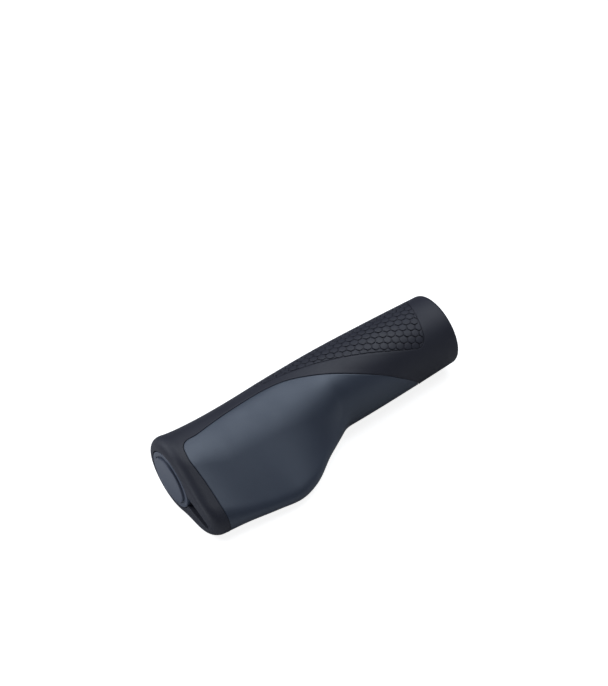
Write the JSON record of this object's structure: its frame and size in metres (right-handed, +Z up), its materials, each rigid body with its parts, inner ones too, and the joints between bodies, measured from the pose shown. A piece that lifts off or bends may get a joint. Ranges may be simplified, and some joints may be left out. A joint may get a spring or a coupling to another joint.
{
  "type": "handlebar grip",
  "caption": "Left-hand ergonomic handlebar grip with a palm wing, a soft palm pad, a honeycomb field on its neck and a closed outer end.",
  "frame": {"origin": "middle of the face inside the grip that the end of the handlebar stops against", "axes": "+X along the handlebar from the closed outer end to the open inner end, +Z up as the grip lies on a flat surface, wing towards -Y"},
  "size_m": [0.1308, 0.051, 0.034],
  "materials": {
    "black_rubber": "matt black moulded rubber",
    "palm_rubber": "soft matt blue-grey rubber",
    "plug_plastic": "satin dark grey plastic"
  },
  "bodies": {
    "root": {"grip_body": "black_rubber", "palm_pad": "palm_rubber", "end_plug": "plug_plastic"}
  },
  "joints": []
}
